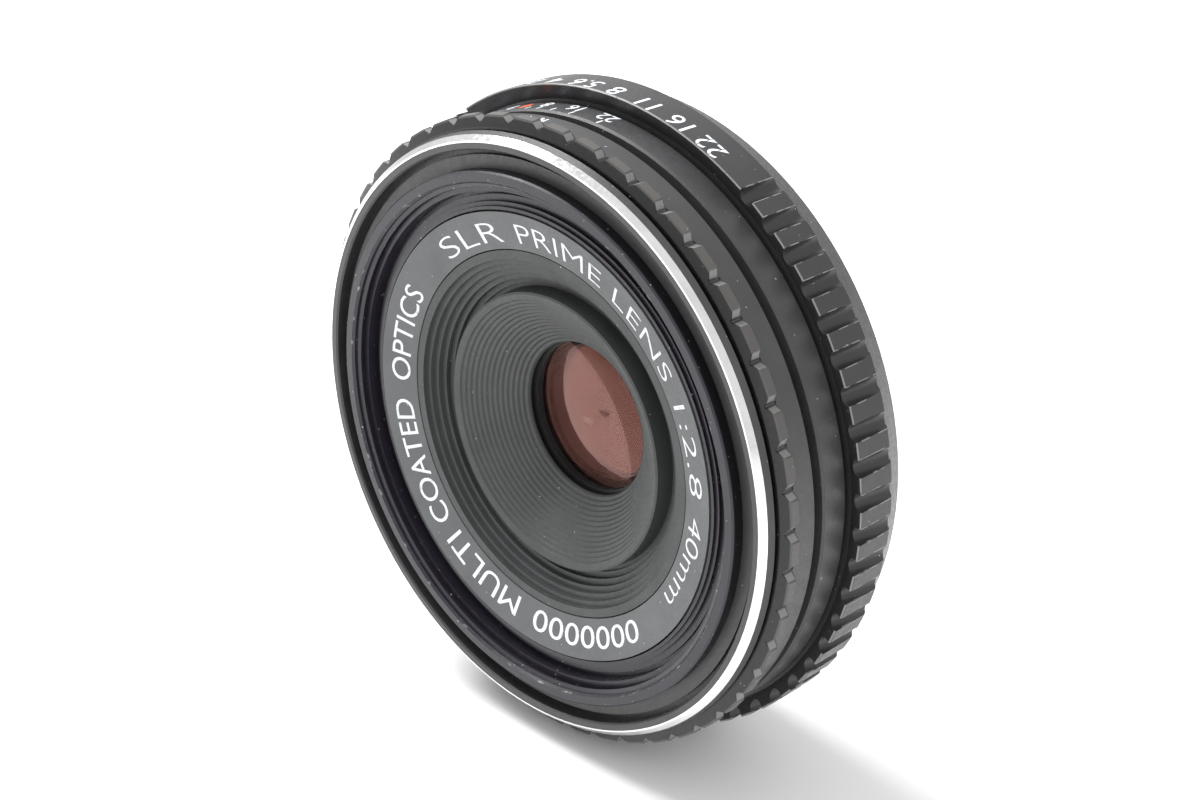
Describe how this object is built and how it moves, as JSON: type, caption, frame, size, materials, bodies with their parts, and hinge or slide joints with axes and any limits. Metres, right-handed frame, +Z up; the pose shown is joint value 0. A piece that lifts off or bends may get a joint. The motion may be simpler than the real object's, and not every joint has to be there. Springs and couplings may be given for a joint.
{
  "type": "camera prime lens",
  "caption": "Slim black manual-focus prime lens with a three-lug bayonet, knurled focus ring, scalloped aperture ring and working iris.",
  "frame": {"origin": "centre of the bayonet flange's camera-side face", "axes": "-Y along the optical axis out of the front, +Z up with the lens standing on its rim, +X to the right seen from the front"},
  "size_m": [0.063, 0.0232, 0.063],
  "materials": {
    "black_anodised": "black anodised, satin, rubbed bright on the edges",
    "mount_steel": "satin chrome plate",
    "red_enamel": "red enamel",
    "screw_steel": "bright screws and springs",
    "lever_steel": "plain steel",
    "brass": "machined brass",
    "bright_trim": "bright cut bevel",
    "blade_steel": "blackened spring steel",
    "glass": "multi-coated optical glass, amber and magenta reflections"
  },
  "bodies": {
    "fixed_barrel": {"bayonet_mount": "mount_steel", "alignment_dot": "red_enamel", "mount_screws": "screw_steel", "main_barrel": "black_anodised", "scale_ring": "black_anodised", "scale_ring_screws": "screw_steel", "guide_keys": "brass", "guide_key_screws": "screw_steel", "click_plunger": "screw_steel", "click_spring": "screw_steel", "click_spring_screw": "screw_steel"},
    "aperture_ring_body": {"aperture_ring": "black_anodised", "aperture_link_screw": "screw_steel"},
    "stop_down_body": {"stop_down_ring": "lever_steel"},
    "lens_block": {"inner_barrel": "black_anodised", "focus_retainer": "black_anodised", "filter_ring": "black_anodised", "step_ring": "black_anodised", "name_ring": "black_anodised", "front_hood": "black_anodised", "hood_carrier": "black_anodised", "front_cell": "black_anodised", "front_element": "glass", "front_retaining_ring": "black_anodised", "second_element": "glass", "element_spacer": "black_anodised", "third_element": "glass", "middle_retaining_ring": "black_anodised", "iris_base": "black_anodised", "iris_cover": "black_anodised", "rear_cell": "black_anodised", "fourth_element": "glass", "fifth_element": "glass", "rear_retaining_ring": "black_anodised", "rear_cover": "black_anodised"},
    "focus_body": {"focus_ring": "black_anodised", "trim_ring": "bright_trim"},
    "iris_cam_body": {"iris_cam_ring": "brass"},
    "iris_blade_body_1": {"iris_blade_1": "blade_steel"},
    "iris_blade_body_2": {"iris_blade_2": "blade_steel"},
    "iris_blade_body_3": {"iris_blade_3": "blade_steel"},
    "iris_blade_body_4": {"iris_blade_4": "blade_steel"},
    "iris_blade_body_5": {"iris_blade_5": "blade_steel"}
  },
  "joints": [
    {"name": "focus_turn", "type": "hinge", "parent": "lens_block", "child": "focus_body", "pos_m": [0, -0.014, 0], "axis": [0, -1, 0], "range_deg": [-140.2, 0.2]},
    {"name": "focus_slide", "type": "slide", "parent": "fixed_barrel", "child": "lens_block", "axis": [0, -1, 0], "range_m": [0, 0.0031]},
    {"name": "aperture_turn", "type": "hinge", "parent": "fixed_barrel", "child": "aperture_ring_body", "pos_m": [0, -0.006, 0], "axis": [0, -1, 0], "range_deg": [-3.51, 38.61]},
    {"name": "stop_down_turn", "type": "hinge", "parent": "fixed_barrel", "child": "stop_down_body", "pos_m": [0, -0.002, 0], "axis": [0, -1, 0], "range_deg": [-3.71, 38.81]},
    {"name": "iris_cam_turn", "type": "hinge", "parent": "lens_block", "child": "iris_cam_body", "pos_m": [0, -0.001, 0], "axis": [0, -1, 0], "range_deg": [-3.71, 38.81]},
    {"name": "iris_blade_turn_1", "type": "hinge", "parent": "lens_block", "child": "iris_blade_body_1", "pos_m": [0.0092, -0.0018, 0], "axis": [0, -1, 0], "range_deg": [-2.75, 28.22]},
    {"name": "iris_blade_turn_2", "type": "hinge", "parent": "lens_block", "child": "iris_blade_body_2", "pos_m": [0.00284, -0.0018, 0.00875], "axis": [0, -1, 0], "range_deg": [-2.75, 28.22]},
    {"name": "iris_blade_turn_3", "type": "hinge", "parent": "lens_block", "child": "iris_blade_body_3", "pos_m": [-0.00744, -0.0018, 0.00541], "axis": [0, -1, 0], "range_deg": [-2.75, 28.22]},
    {"name": "iris_blade_turn_4", "type": "hinge", "parent": "lens_block", "child": "iris_blade_body_4", "pos_m": [-0.00744, -0.0018, -0.00541], "axis": [0, -1, 0], "range_deg": [-2.75, 28.22]},
    {"name": "iris_blade_turn_5", "type": "hinge", "parent": "lens_block", "child": "iris_blade_body_5", "pos_m": [0.00284, -0.0018, -0.00875], "axis": [0, -1, 0], "range_deg": [-2.75, 28.22]}
  ],
  "couplings": [
    {"joint": "focus_turn", "follows": "focus_slide", "rad_per_m": -788.21},
    {"joint": "stop_down_turn", "follows": "aperture_turn", "ratio": 1},
    {"joint": "iris_cam_turn", "follows": "aperture_turn", "ratio": 1},
    {"joint": "iris_blade_turn_1", "follows": "aperture_turn", "ratio": 0.72569},
    {"joint": "iris_blade_turn_2", "follows": "aperture_turn", "ratio": 0.72569},
    {"joint": "iris_blade_turn_3", "follows": "aperture_turn", "ratio": 0.72569},
    {"joint": "iris_blade_turn_4", "follows": "aperture_turn", "ratio": 0.72569},
    {"joint": "iris_blade_turn_5", "follows": "aperture_turn", "ratio": 0.72569}
  ]
}
